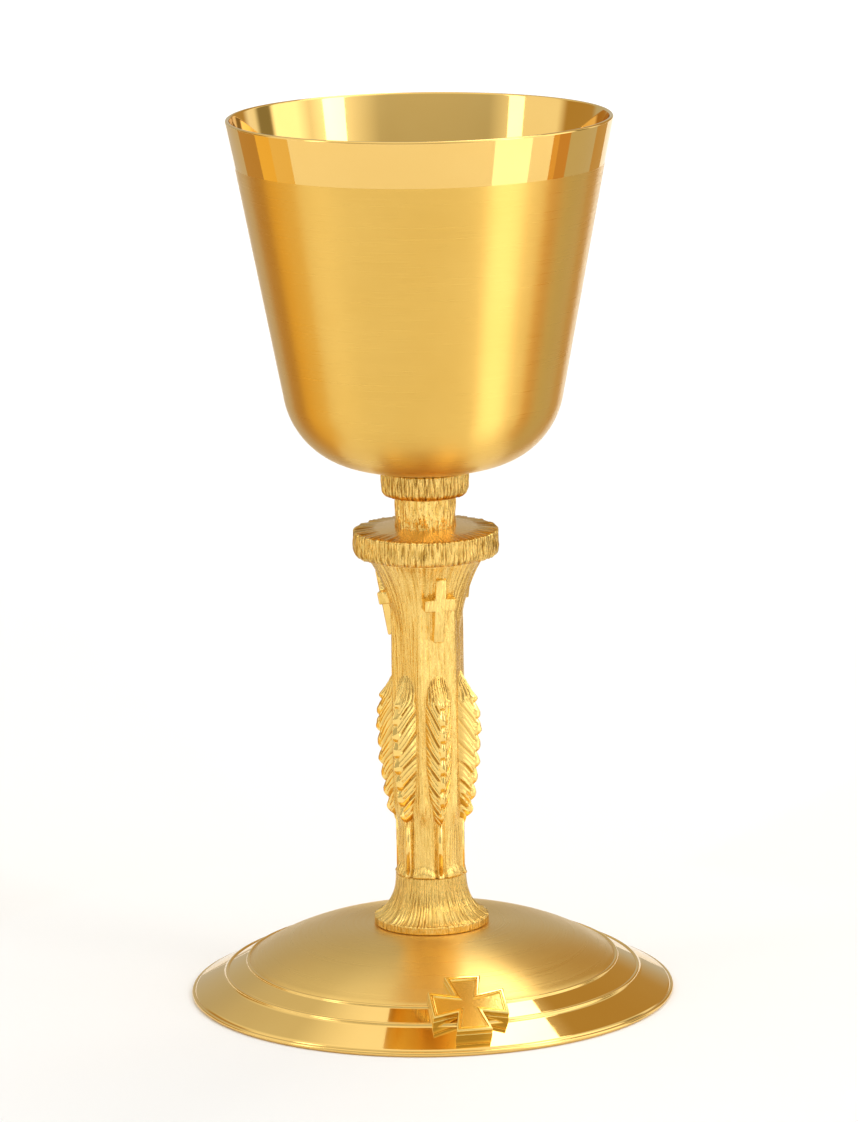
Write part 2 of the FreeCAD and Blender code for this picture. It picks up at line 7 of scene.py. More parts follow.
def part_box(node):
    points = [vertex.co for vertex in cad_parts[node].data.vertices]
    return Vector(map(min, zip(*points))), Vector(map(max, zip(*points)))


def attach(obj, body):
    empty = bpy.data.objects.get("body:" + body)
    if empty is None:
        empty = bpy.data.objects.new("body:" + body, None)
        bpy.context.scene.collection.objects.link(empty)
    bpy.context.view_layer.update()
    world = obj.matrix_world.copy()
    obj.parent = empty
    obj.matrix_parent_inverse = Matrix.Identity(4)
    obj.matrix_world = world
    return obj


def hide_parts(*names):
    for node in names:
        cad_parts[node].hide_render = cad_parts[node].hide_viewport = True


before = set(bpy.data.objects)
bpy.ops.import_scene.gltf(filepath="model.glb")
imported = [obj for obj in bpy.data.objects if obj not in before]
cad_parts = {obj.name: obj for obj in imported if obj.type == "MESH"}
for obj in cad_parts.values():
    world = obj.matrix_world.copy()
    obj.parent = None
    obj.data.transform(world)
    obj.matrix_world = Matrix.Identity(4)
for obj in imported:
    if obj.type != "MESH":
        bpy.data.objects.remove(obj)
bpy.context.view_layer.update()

# ---------------------------------------------------------------- the studio
# A white table in a tent of pale cloth with a bright window to the right, three
# soft lamps, and coloured cards that lie on the table. The cards show only in the
# metal, which mirrors all of this.

MM = 0.001
CAMERA_TURN = math.radians(-10.0)
CAMERA_REACH = 1.320
CAMERA_HEIGHT = 0.381
CAMERA_TILT = math.radians(11.83)
CAMERA_SWING = math.radians(-0.03)
CAMERA_ROLL = math.radians(-0.9)


def around(turn, reach, height):
    """A point so far from the stem's axis, turned by degrees from the camera to
    its right."""
    angle = CAMERA_TURN + math.radians(turn)
    return Vector((math.sin(angle) * reach, -math.cos(angle) * reach, height))


scene = bpy.context.scene
scene.view_settings.view_transform = "Standard"

lens = bpy.data.cameras.new("camera")
lens.lens = 183.5
lens.clip_start = 0.01
camera = bpy.data.objects.new("camera", lens)
camera.matrix_world = (
    Matrix.Translation(around(0, CAMERA_REACH, CAMERA_HEIGHT))
    @ Matrix.Rotation(CAMERA_TURN + CAMERA_SWING, 4, "Z")
    @ Matrix.Rotation(math.pi / 2 - CAMERA_TILT, 4, "X")
    @ Matrix.Rotation(CAMERA_ROLL, 4, "Z")
)
scene.collection.objects.link(camera)
scene.camera = camera


def stage_piece(name, corners, material):
    """A flat sheet of the studio from its corners in turn."""
    mesh = bpy.data.meshes.new(name)
    bm = bmesh.new()
    bm.faces.new([bm.verts.new(corner) for corner in corners])
    bm.to_mesh(mesh)
    bm.free()
    mesh.materials.append(material)
    piece = bpy.data.objects.new(name, mesh)
    scene.collection.objects.link(piece)
    return piece


table_white = bpy.data.materials.new("table_white")
table_white.use_nodes = True
shader = table_white.node_tree.nodes["Principled BSDF"]
shader.inputs["Base Color"].default_value = (0.93, 0.93, 0.925, 1)
shader.inputs["Roughness"].default_value = 0.7
shader.inputs["Specular IOR Level"].default_value = 0.2
# far from the chalice the table glows a little, so that it stays white
place = table_white.node_tree.nodes.new("ShaderNodeTexCoord")
reach = table_white.node_tree.nodes.new("ShaderNodeVectorMath")
reach.operation = "LENGTH"
glow = table_white.node_tree.nodes.new("ShaderNodeMapRange")
glow.inputs["From Min"].default_value = 0.4
glow.inputs["From Max"].default_value = 2.5
glow.inputs["To Max"].default_value = 0.35
table_white.node_tree.links.new(place.outputs["Object"], reach.inputs[0])
table_white.node_tree.links.new(reach.outputs["Value"], glow.inputs["Value"])
table_white.node_tree.links.new(glow.outputs["Result"], shader.inputs["Emission Strength"])
shader.inputs["Emission Color"].default_value = (1, 1, 1, 1)
TABLE = 5.0
table_corners = [(-TABLE, -TABLE, 0), (TABLE, -TABLE, 0), (TABLE, TABLE, 0), (-TABLE, TABLE, 0)]
stage_piece("table", table_corners, table_white)


def card(name, colour, start, end, near=0.13, far=4.0):
    """A card on the table between two turns from the camera, seen only in metal."""
    glow = bpy.data.materials.new(name)
    glow.use_nodes = True
    shader = glow.node_tree.nodes["Principled BSDF"]
    shader.inputs["Base Color"].default_value = (0, 0, 0, 1)
    shader.inputs["Specular IOR Level"].default_value = 0.0
    shader.inputs["Emission Color"].default_value = (*colour, 1)
    shader.inputs["Emission Strength"].default_value = 1.0
    lift = 0.001
    corners = [
        around(start, near, lift), around(end, near, lift),
        around(end, far, lift), around(start, far, lift),
    ]
    piece = stage_piece(name, corners, glow)
    piece.visible_camera = False
    piece.visible_diffuse = False
    piece.visible_shadow = False


card("card_far_left", (0.62, 0.56, 0.46), -165, -136)
card("card_left_behind", (0.56, 0.34, 0.12), -136, -114)
card("card_left", (0.98, 0.66, 0.17), -114, -100)
card("card_left_edge", (0.95, 0.72, 0.32), -100, -84)
card("card_bright", (1.85, 1.88, 1.98), 45, 70)
card("card_right_edge", (0.85, 0.50, 0.16), 86, 91)
card("card_right", (0.66, 0.36, 0.12), 91, 101)
card("card_shade", (0.62, 0.58, 0.47), 101, 131)
card("card_right_behind", (0.60, 0.40, 0.16), 131, 150)


def lamp(name, turn, reach, height, size, brightness, aim=0.1):
    """A rectangular soft lamp that faces the chalice."""
    data = bpy.data.lights.new(name, "AREA")
    data.shape = "RECTANGLE"
    data.size, data.size_y = size
    data.energy = brightness * 4 * size[0] * size[1]
    piece = bpy.data.objects.new(name, data)
    piece.location = around(turn, reach, height)
    facing = Vector((0, 0, aim)) - piece.location
    piece.rotation_euler = facing.to_track_quat("-Z", "Y").to_euler()
    scene.collection.objects.link(piece)


lamp("key_lamp", 57, 1.4, 0.9, (0.4, 0.6), 2.3)
lamp("fill_lamp", -66, 1.5, 0.8, (0.3, 0.8), 1.8)
lamp("top_lamp", 148, 0.75, 1.52, (0.7, 0.40), 3.2)

world = bpy.data.worlds.new("tent")
scene.world = world
world.use_nodes = True
nodes = world.node_tree.nodes
links = world.node_tree.links


def shades(stops):
    """A ramp node with stops of (place, colour)."""
    node = nodes.new("ShaderNodeValToRGB")
    elements = node.color_ramp.elements
    elements[0].position = 0.0
    elements[1].position = 1.0
    for place, colour in stops[1:-1]:
        elements.new(place)
    for element, (place, colour) in zip(elements, stops):
        element.position = place
        element.color = (*colour, 1)
    return node


def step(operation, *values):
    """A math node fed with values or sockets."""
    node = nodes.new("ShaderNodeMath")
    node.operation = operation
    for socket, value in zip(node.inputs, values):
        if isinstance(value, bpy.types.NodeSocket):
            links.new(value, socket)
        else:
            socket.default_value = value
    return node.outputs[0]


aim = nodes.new("ShaderNodeTexCoord")
turned_aim = nodes.new("ShaderNodeMapping")
turned_aim.inputs["Rotation"].default_value = (0, 0, -CAMERA_TURN)
axes = nodes.new("ShaderNodeSeparateXYZ")
links.new(aim.outputs["Generated"], turned_aim.inputs["Vector"])
links.new(turned_aim.outputs[0], axes.inputs[0])
bearing = step("ARCTAN2", axes.outputs["X"], step("MULTIPLY", axes.outputs["Y"], -1.0))
share = step("ADD", step("DIVIDE", bearing, math.tau), 0.5)


def at(turn):
    """The place on the walls' ramp of a turn from the camera."""
    return turn / 360 + 0.5


GREY = (0.56, 0.54, 0.47)
MIDDLE = (0.82, 0.81, 0.77)
BROWN = (0.50, 0.34, 0.13)
DIM = (0.56, 0.55, 0.51)
WHITE = (1.08, 1.08, 1.08)
WINDOW = (1.75, 1.75, 1.80)
DARK = (0.30, 0.27, 0.18)
CEILING = (1.18, 1.18, 1.18)
walls = shades((
    (at(-180), GREY), (at(-140), GREY), (at(-134), BROWN), (at(-106), BROWN),
    (at(-98), WHITE), (at(-62), WHITE), (at(-46), DIM), (at(26), DIM),
    (at(44), WHITE), (at(60), WINDOW), (at(74), WHITE), (at(84), WINDOW),
    (at(103), WINDOW), (at(107), DARK), (at(118), DARK), (at(123), WHITE),
    (at(130), WHITE), (at(137), BROWN), (at(160), BROWN), (at(168), GREY),
))
upper_walls = shades((
    (at(-180), GREY), (at(-158), GREY), (at(-138), MIDDLE), (at(-90), WHITE),
    (at(-40), MIDDLE), (at(20), MIDDLE), (at(50), WINDOW), (at(90), WINDOW),
    (at(110), MIDDLE), (at(132), MIDDLE), (at(138), BROWN), (at(162), BROWN),
    (at(170), GREY),
))
links.new(share, walls.inputs["Fac"])
links.new(share, upper_walls.inputs["Fac"])


def raised(low, high, below, above):
    """Blends from one colour up to another between two heights of the aim."""
    rise = nodes.new("ShaderNodeMapRange")
    rise.interpolation_type = "SMOOTHSTEP"
    rise.inputs["From Min"].default_value = low
    rise.inputs["From Max"].default_value = high
    links.new(axes.outputs["Z"], rise.inputs["Value"])
    blend = nodes.new("ShaderNodeMix")
    blend.data_type = "RGBA"
    links.new(rise.outputs["Result"], blend.inputs["Factor"])
    sockets = [socket for socket in blend.inputs if socket.type == "RGBA"]
    links.new(below, sockets[0])
    if isinstance(above, bpy.types.NodeSocket):
        links.new(above, sockets[1])
    else:
        sockets[1].default_value = (*above, 1)
    return [socket for socket in blend.outputs if socket.type == "RGBA"][0]


sides = raised(0.30, 0.55, walls.outputs["Color"], upper_walls.outputs["Color"])
tent = raised(0.78, 0.92, sides, CEILING)
links.new(tent, nodes["Background"].inputs["Color"])


# ------------------------------------------------------------------- the cup
# Spun from sheet and gilded. The outside is brushed around to a satin up to a
# finger's breadth below the rim. The rim band and the inside are polished.

CUP_SIDES = 256
cup_low, cup_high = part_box("cup")
RIM_RADIUS = cup_high.x
RIM_HEIGHT = cup_high.z
CUP_BOTTOM = cup_low.z
CUP_WALL = 1.0 * MM
BOWL_RADIUS = 66 * MM
CORNER_RADIUS = 20 * MM
SIDE_SLOPE = math.atan(0.1877)
BAND_WIDTH = 10.9 * MM


def gilt(name, colour, roughness, anisotropy=0.0):
    """Gold plate of one finish, whose colour drifts a little from place to place.
    Returns the material with its node tree and shader, for more to be added."""
    material = bpy.data.materials.new(name)
    material.use_nodes = True
    tree = material.node_tree
    shader = tree.nodes["Principled BSDF"]
    shader.inputs["Metallic"].default_value = 1.0
    shader.inputs["Roughness"].default_value = roughness
    shader.inputs["Anisotropic"].default_value = anisotropy
    shader.inputs["Anisotropic Rotation"].default_value = 0.25
    place = tree.nodes.new("ShaderNodeTexCoord")
    drift = tree.nodes.new("ShaderNodeTexNoise")
    drift.inputs["Scale"].default_value = 55.0
    drift.inputs["Detail"].default_value = 3.0
    shades = tree.nodes.new("ShaderNodeValToRGB")
    shades.color_ramp.elements[0].position = 0.3
    shades.color_ramp.elements[1].position = 0.7
    deep = [c * d for c, d in zip(colour, (0.975, 0.955, 0.90))]
    shades.color_ramp.elements[0].color = (*deep, 1)
    shades.color_ramp.elements[1].color = (*colour, 1)
    tree.links.new(place.outputs["Object"], drift.inputs["Vector"])
    tree.links.new(drift.outputs["Fac"], shades.inputs["Fac"])
    tree.links.new(shades.outputs["Color"], shader.inputs["Base Color"])
    return material, tree, shader


def stretched_noise(tree, scale, detail=4.0, vector=None):
    """Noise drawn out along the axes with the smaller scale."""
    if vector is None:
        vector = tree.nodes.new("ShaderNodeTexCoord").outputs["Object"]
    mapping = tree.nodes.new("ShaderNodeMapping")
    mapping.inputs["Scale"].default_value = scale
    grain = tree.nodes.new("ShaderNodeTexNoise")
    grain.inputs["Scale"].default_value = 1.0
    grain.inputs["Detail"].default_value = detail
    grain.inputs["Roughness"].default_value = 0.6
    tree.links.new(vector, mapping.inputs["Vector"])
    tree.links.new(mapping.outputs["Vector"], grain.inputs["Vector"])
    return grain.outputs["Fac"]


def relief(tree, shader, height, distance, strength=1.0):
    """Feeds a height to the shader's bump, after any bump that is there."""
    bump = tree.nodes.new("ShaderNodeBump")
    bump.inputs["Strength"].default_value = strength
    bump.inputs["Distance"].default_value = distance
    tree.links.new(height, bump.inputs["Height"])
    if shader.inputs["Normal"].is_linked:
        before = shader.inputs["Normal"].links[0].from_socket
        tree.links.new(before, bump.inputs["Normal"])
    tree.links.new(bump.outputs["Normal"], shader.inputs["Normal"])


def roughened(tree, shader, height, low, high):
    """Lets a pattern move the roughness between two values."""
    spread = tree.nodes.new("ShaderNodeMapRange")
    spread.inputs["From Min"].default_value = 0.3
    spread.inputs["From Max"].default_value = 0.7
    spread.inputs["To Min"].default_value = low
    spread.inputs["To Max"].default_value = high
    tree.links.new(height, spread.inputs["Value"])
    tree.links.new(spread.outputs["Result"], shader.inputs["Roughness"])


def paint_shade(tree, shader, amount, shade_colour):
    """Paints shade into the shader's colour: multiplies it by a shade colour where an amount
    goes from 0 to 1.
    """
    mix = tree.nodes.new("ShaderNodeMix")
    mix.data_type = "RGBA"
    mix.blend_type = "MULTIPLY"
    sockets = [socket for socket in mix.inputs if socket.type == "RGBA"]
    tree.links.new(amount, mix.inputs["Factor"])
    tree.links.new(shader.inputs["Base Color"].links[0].from_socket, sockets[0])
    sockets[1].default_value = (*shade_colour, 1)
    result = [socket for socket in mix.outputs if socket.type == "RGBA"][0]
    tree.links.new(result, shader.inputs["Base Color"])


SATIN_GOLD = (0.80, 0.505, 0.118)
POLISHED_GOLD = (0.87, 0.578, 0.181)

satin, tree, shader = gilt("cup_satin", SATIN_GOLD, 0.30, anisotropy=0.85)
brushing = stretched_noise(tree, (30, 30, 5200))
relief(tree, shader, brushing, 0.00002, 0.6)
roughened(tree, shader, brushing, 0.26, 0.36)

polished, tree, shader = gilt("polished_gilt", POLISHED_GOLD, 0.035)
wipes = stretched_noise(tree, (300, 300, 900), 3.0)
roughened(tree, shader, wipes, 0.025, 0.06)


def arc(centre, radius, start, end, steps):
    """Points on an arc of an outline, by angles in degrees from straight out."""
    points = []
    for i in range(steps + 1):
        angle = math.radians(start + (end - start) * i / steps)
        across = centre[0] + radius * math.cos(angle)
        points.append((across, centre[1] + radius * math.sin(angle)))
    return points


def turned(outline, sides, closed=False):
    """A bmesh turned about the stem's axis from an outline of (radius, height)."""
    bm = bmesh.new()
    verts = [bm.verts.new((radius, 0, height)) for radius, height in outline]
    for first, second in zip(verts, verts[1:]):
        bm.edges.new((first, second))
    if closed:
        bm.edges.new((verts[-1], verts[0]))
    bmesh.ops.spin(
        bm,
        geom=bm.verts[:] + bm.edges[:],
        cent=(0, 0, 0),
        axis=(0, 0, 1),
        angle=math.tau,
        steps=sides,
        use_merge=True,
    )
    bmesh.ops.remove_doubles(bm, verts=bm.verts, dist=0.000002)
    bmesh.ops.recalc_face_normals(bm, faces=bm.faces)
    return bm


def finished(name, bm, body, materials, replaces=(), crisp=False):
    """Makes the piece from its bmesh, and puts it on its body of the chalice. A crisp
    piece keeps its flat faces flat."""
    mesh = bpy.data.meshes.new(name)
    bm.to_mesh(mesh)
    bm.free()
    for material in materials:
        mesh.materials.append(material)
    mesh.shade_smooth()
    if crisp:
        mesh.set_sharp_from_angle(angle=math.radians(38))
    piece = bpy.data.objects.new(name, mesh)
    scene.collection.objects.link(piece)
    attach(piece, body)
    if replaces:
        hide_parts(*replaces)
    return piece


def cup_section():
    """The cup's outline from the bottom of the bowl up the outside, over the lip
    and down the inside. The corner is an arc that both bowl and side run into."""
    bowl_centre = CUP_BOTTOM + BOWL_RADIUS
    slope = SIDE_SLOPE
    # the corner's centre is as far inside the side as its radius, and on a circle
    # of the difference of the radii about the bowl's centre
    reach = BOWL_RADIUS - CORNER_RADIUS
    lean = math.tan(slope)
    start = RIM_RADIUS - lean * (RIM_HEIGHT - bowl_centre) - CORNER_RADIUS / math.cos(slope)
    down = (lean * start + math.sqrt(reach**2 * (1 + lean**2) - start**2)) / (1 + lean**2)
    corner = (start - lean * down, bowl_centre - down)
    turn = -math.degrees(math.atan2(down, corner[0]))
    outside = arc((0, bowl_centre), BOWL_RADIUS, -90, turn, 20)
    outside += arc(corner, CORNER_RADIUS, turn, -math.degrees(slope), 26)[1:]
    inside = arc(corner, CORNER_RADIUS - CUP_WALL, -math.degrees(slope), turn, 24)
    inside += arc((0, bowl_centre), BOWL_RADIUS - CUP_WALL, turn, -90, 16)[1:]
    band = (RIM_RADIUS - lean * BAND_WIDTH, RIM_HEIGHT - BAND_WIDTH)
    low = outside[-1]
    side = [
        (low[0] + (band[0] - low[0]) * i / 8, low[1] + (band[1] - low[1]) * i / 8)
        for i in range(1, 9)
    ]
    half = CUP_WALL / 2
    lip_centre = (RIM_RADIUS - half, RIM_HEIGHT - half)
    lip = arc(lip_centre, half, -math.degrees(slope), 180 - math.degrees(slope), 10)
    return outside + side + lip + inside


bm = turned(cup_section(), CUP_SIDES)
for face in bm.faces:
    middle = face.calc_center_median()
    outer = face.normal.xy.dot(middle.xy) > 0 or face.normal.z < -0.5
    if outer and middle.z < RIM_HEIGHT - BAND_WIDTH:
        face.material_index = 0
    else:
        face.material_index = 1
finished("cup_shell", bm, "bowl", (satin, polished), ["cup"])


# ------------------------------------------- the collar, the neck and the disc
# Three turned and cast rings. Their edges are cast with a bark-like grain that
# runs upright. The disc's top is plain, slightly crowned and brushed.

BARK_GOLD = (0.93, 0.64, 0.20)
RING_SIDES = 480


def upright(tree):
    """Coordinates in which a pattern runs up the stem and out along its flares."""
    place = tree.nodes.new("ShaderNodeTexCoord")
    flat = tree.nodes.new("ShaderNodeVectorMath")
    flat.operation = "MULTIPLY"
    flat.inputs[1].default_value = (1, 1, 0)
    outward = tree.nodes.new("ShaderNodeVectorMath")
    outward.operation = "NORMALIZE"
    rise = tree.nodes.new("ShaderNodeVectorMath")
    rise.operation = "MULTIPLY"
    rise.inputs[1].default_value = (0, 0, 1)
    both = tree.nodes.new("ShaderNodeVectorMath")
    tree.links.new(place.outputs["Object"], flat.inputs[0])
    tree.links.new(flat.outputs[0], outward.inputs[0])
    tree.links.new(place.outputs["Object"], rise.inputs[0])
    tree.links.new(outward.outputs[0], both.inputs[0])
    tree.links.new(rise.outputs[0], both.inputs[1])
    return both.outputs[0]


def sunk(tree):
    """How deep a point lies in the cast relief, from 0 to 1, as its mesh holds it, for the
    painted shade.
    """
    depth = tree.nodes.new("ShaderNodeAttribute")
    depth.attribute_name = "sunk"
    return depth.outputs["Fac"]


def bark_gilt(name, roughness, count, depth, groove_shade):
    """Gilding over a cast grain that runs upright, with so many lines to a radian,
    and with painted shade darkening its grooves."""
    material, tree, shader = gilt(name, BARK_GOLD, roughness)
    lines = stretched_noise(tree, (count, count, 260), 3.0, upright(tree))
    relief(tree, shader, lines, depth, 1.0)
    # painted shade: the gold is darkened where the grain's lines run low and where the mesh
    # lies sunk in its relief
    low = tree.nodes.new("ShaderNodeMapRange")
    low.inputs["From Min"].default_value = 0.52
    low.inputs["From Max"].default_value = 0.34
    tree.links.new(lines, low.inputs["Value"])
    paint_shade(tree, shader, low.outputs["Result"], groove_shade)
    paint_shade(tree, shader, sunk(tree), groove_shade)
    pits = stretched_noise(tree, (2600, 2600, 1300), 2.0)
    relief(tree, shader, pits, 0.00004, 0.6)
    roughened(tree, shader, pits, roughness * 0.6, roughness * 1.4)
    return material


# colours of the painted shade in the grooves of the cast grain
DEEP_GROOVE_SHADE = (0.64, 0.55, 0.36)
SOFT_GROOVE_SHADE = (0.84, 0.78, 0.62)
bark = bark_gilt("bark_gilt", 0.13, 34, 0.0006, DEEP_GROOVE_SHADE)
neck_bark = bark_gilt("neck_gilt", 0.09, 10, 0.0006, SOFT_GROOVE_SHADE)


def ridge(angle, height, count, seed):
    """Uneven upright ridges around a ring, from -1 to 1. They run without a seam."""
    spot = Vector((math.cos(angle) * count, math.sin(angle) * count, height + seed))
    return noise.noise(spot)


def grained(bm, depth, count, chosen, seed, rise=90.0):
    """Casts upright ridges into the chosen points, square to the surface, and keeps
    how deep each point lies."""
    layer = bm.verts.layers.float.new("sunk")
    bm.normal_update()
    moved = []
    for vert in bm.verts:
        share = chosen(vert)
        if share <= 0:
            continue
        angle = math.atan2(vert.co.y, vert.co.x)
        height = ridge(angle, vert.co.z * rise, count, seed)
        height += 0.5 * ridge(angle, vert.co.z * rise * 1.6, count * 2.1, seed + 7)
        # the depth, from 0 to 1, sets where shade is painted in the grooves
        vert[layer] = min(max(-2.2 * share * height, 0.0), 1.0)
        moved.append((vert, vert.normal * (depth * share * height)))
    for vert, step in moved:
        vert.co += step
    return bm


def climb(low, high, steps):
    """Even steps of height between two heights."""
    return [low + (high - low) * i / steps for i in range(steps + 1)]


low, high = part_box("cup_collar")
COLLAR_ROUND = 2.0 * MM
COLLAR_BORE = 6.6 * MM
round_centre = (high.x - COLLAR_ROUND, low.z + COLLAR_ROUND)
section = [(COLLAR_BORE, low.z)]
section += arc(round_centre, COLLAR_ROUND, -90, 0, 10)
section += [(high.x, z) for z in climb(round_centre[1], high.z - 0.25 * MM, 12)[1:]]
section += [(high.x - 0.12 * MM, high.z), (COLLAR_BORE, high.z - 0.46 * MM)]
bm = turned(section, RING_SIDES, closed=True)
edge = high.x - 1.2 * MM
grained(bm, 0.34 * MM, 24, lambda v: v.co.xy.length > edge, 3, rise=260)
finished("collar_ring", bm, "collar", (bark,), ["cup_collar"])

low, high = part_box("neck_sleeve")
NECK_BORE = 5.65 * MM
section = [(NECK_BORE, low.z)]
section += [(high.x, z) for z in climb(low.z, high.z, 20)]
section += [(NECK_BORE, high.z)]
bm = turned(section, RING_SIDES, closed=True)
grained(bm, 0.26 * MM, 9, lambda v: v.co.xy.length > 6.5 * MM, 11, rise=260)
finished("neck_tube", bm, "stand", (neck_bark,), ["neck_sleeve"])

disc_top_gilt, tree, shader = gilt("disc_top_gilt", (0.86, 0.53, 0.13), 0.24, 0.6)
turning = stretched_noise(tree, (700, 700, 60), 3.0)
relief(tree, shader, turning, 0.00002, 0.35)

low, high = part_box("knop_disc")
DISC_FOOT = 15.2 * MM
DISC_ROUND = 1.9 * MM
DISC_CROWN = 0.9 * MM
section = [(NECK_BORE, low.z), (DISC_FOOT - 2 * MM, low.z)]
section += [(DISC_FOOT, low.z + 0.05 * MM)]
round_centre = (high.x - DISC_ROUND, low.z + DISC_ROUND + 0.1 * MM)
section += arc(round_centre, DISC_ROUND, -78, 0, 10)
section += [(high.x, z) for z in climb(round_centre[1], high.z - 0.3 * MM, 14)[1:]]
section += [(high.x - 0.3 * MM, high.z), (high.x - 0.8 * MM, high.z + 0.04 * MM)]
section += [(12 * MM, high.z + 0.6 * DISC_CROWN), (8 * MM, high.z + DISC_CROWN)]
section += [(NECK_BORE, high.z + DISC_CROWN)]
bm = turned(section, RING_SIDES, closed=True)
edge = high.x - 1.0 * MM
grained(bm, 0.38 * MM, 40, lambda v: v.co.xy.length > edge, 5, rise=260)
for face in bm.faces:
    face.material_index = int(face.normal.z > 0.9)
finished("disc", bm, "stand", (bark, disc_top_gilt), ["knop_disc"])


# ------------------------------------------------------------------- the stem
# One casting: a hexagon that flares into the round capital. Below the ears it is
# a round shaft with six plain panels between the stalks, over a flared foot.

COLUMN_SIDES = 480
STEM_TURN = math.radians(7.5)
low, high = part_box("stem_column")
COLUMN_LOW = low.z
COLUMN_HIGH = high.z
CAPITAL_RADIUS = high.x
APOTHEM = 7.84 * MM
SHAFT_RADIUS = 7.45 * MM
FACET_CORNER = 1.135
FLARE_START = 88.5 * MM
FLARE_NECK = 7.9 * MM
RIB_HEIGHT = 0.5 * MM
GROOVE_DEPTH = 0.4 * MM
SHAFT_FOOT = 8.3 * MM
PANEL_TOP = 43.0 * MM


def smoothly(start, end, value):
    """Goes from 0 to 1, without a corner, as the value goes from start to end."""
    share = min(max((value - start) / (end - start), 0.0), 1.0)
    return share * share * (3 - 2 * share)


def off_facet(angle):
    """The angle from the middle of the nearest facet, at most 30 degrees."""
    sixth = math.tau / 6
    return (angle - STEM_TURN + math.pi / 2 + sixth / 2) % sixth - sixth / 2


def groove_share(across):
    """How much of a groove there is beside a stalk, from 0 to 1."""
    from_stalk = abs(across) / math.radians(30)
    return smoothly(0.16, 0.24, from_stalk) * smoothly(0.40, 0.26, from_stalk)


def column_radius(angle, height):
    """How far out the casting's surface is, before its grain."""
    across = off_facet(angle)
    hexagon = min(APOTHEM / math.cos(across), APOTHEM * FACET_CORNER)
    flare = max(0.0, (height - FLARE_START) / (COLUMN_HIGH - FLARE_START))
    widening = 0.36 * flare + 0.64 * flare**2.5
    flared = FLARE_NECK + (CAPITAL_RADIUS - FLARE_NECK) * widening
    radius = max(hexagon - 1.2 * MM * smoothly(0.25, 0.75, flare), flared)
    shaft = smoothly(PANEL_TOP + 4 * MM, PANEL_TOP - 3 * MM, height)
    if shaft > 0:
        # a rib and two grooves run down each facet's middle, where the stalks stand,
        # and the panels between them round out to the foot
        from_stalk = abs(across) / math.radians(30)
        panel = SHAFT_RADIUS + 0.1 * MM * from_stalk
        panel += RIB_HEIGHT * smoothly(0.20, 0.12, from_stalk)
        panel -= GROOVE_DEPTH * groove_share(across)
        corner = smoothly(31.6 * MM, 29.6 * MM, height + 1.8 * MM * (0.6 - from_stalk))
        panel += (SHAFT_FOOT - SHAFT_RADIUS) * corner
        radius = radius * (1 - shaft) + panel * shaft
    return radius


bm = turned([(APOTHEM, z) for z in climb(COLUMN_LOW, COLUMN_HIGH, 150)], COLUMN_SIDES)
layer = bm.verts.layers.float.new("sunk")
for vert in bm.verts:
    angle = math.atan2(vert.co.y, vert.co.x)
    radius = column_radius(angle, vert.co.z)
    flared = smoothly(92 * MM, 99 * MM, vert.co.z)
    panelled = smoothly(PANEL_TOP, PANEL_TOP - 4 * MM, vert.co.z)
    lines = ridge(angle, vert.co.z * 90, 24, 2)
    coarse = ridge(angle, vert.co.z * 60, 15, 9)
    radius += MM * (0.10 * lines + (0.34 * flared + 0.12 * panelled) * coarse)
    # how deep the point lies, which sets the painted shade in the grain and in the grooves
    # beside the stalks
    depth = -0.8 * lines - 1.6 * max(flared, 0.6 * panelled) * coarse
    depth += 0.8 * panelled * groove_share(off_facet(angle))
    vert[layer] = min(max(depth, 0.0), 1.0)
    vert.co.x = math.cos(angle) * radius
    vert.co.y = math.sin(angle) * radius
ends = [e for e in bm.edges if e.is_boundary]
bmesh.ops.holes_fill(bm, edges=ends, sides=0)
bmesh.ops.recalc_face_normals(bm, faces=bm.faces)
stem_bark = bark_gilt("stem_gilt", 0.26, 22, 0.00025, SOFT_GROOVE_SHADE)
finished("column", bm, "stand", (stem_bark,), ["stem_column"])

low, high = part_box("stem_foot")
FOOT_RADIUS = high.x
FOOT_TOP = SHAFT_FOOT
FOOT_BORE = 5 * MM
FOOT_STEPS = 60
BAND_TOP = 18.6 * MM
section = [(FOOT_BORE, low.z), (FOOT_RADIUS - 0.25 * MM, low.z)]
section += [(FOOT_RADIUS, z) for z in climb(low.z + 0.2 * MM, BAND_TOP, 8)]
for i in range(1, FOOT_STEPS + 1):
    share = i / FOOT_STEPS
    rise = 1 - (1 - share) ** 1.45
    fall = (1 - share) ** 2.15
    radius = FOOT_TOP + (FOOT_RADIUS - 0.3 * MM - FOOT_TOP) * fall
    section.append((radius, BAND_TOP + (high.z - BAND_TOP) * share * (0.45 + 0.55 * rise)))
section.append((FOOT_BORE, high.z))
bm = turned(section, RING_SIDES, closed=True)


def on_the_flare(vert):
    """How strongly the foot's grain shows: fully on the flare, less on its band and
    at its top."""
    if vert.co.xy.length < FOOT_BORE + MM or vert.co.z < low.z + 0.1 * MM:
        return 0
    if vert.co.z < BAND_TOP:
        return 0.35
    return 1.0 - 0.6 * smoothly(22 * MM, 26 * MM, vert.co.z)


# the colour of the painted shade in the foot's grooves
FOOT_GROOVE_SHADE = (0.76, 0.68, 0.48)
grained(bm, 0.30 * MM, 24, on_the_flare, 21, rise=45.0)
foot_bark = bark_gilt("foot_gilt", 0.15, 34, 0.00045, FOOT_GROOVE_SHADE)
finished("foot", bm, "stand", (foot_bark,), ["stem_foot"])


# ------------------------------------------------------------- the wheat ears
# Six castings, one on each facet, each with its stalk. Rows of awns slope up and
# out from a spine of swelling grains, and a fan of fine awns closes the top.

EAR_LOW = 41.0 * MM
EAR_HIGH = 78.6 * MM
ROW_PITCH = 4.0
ROW_LINES = 3
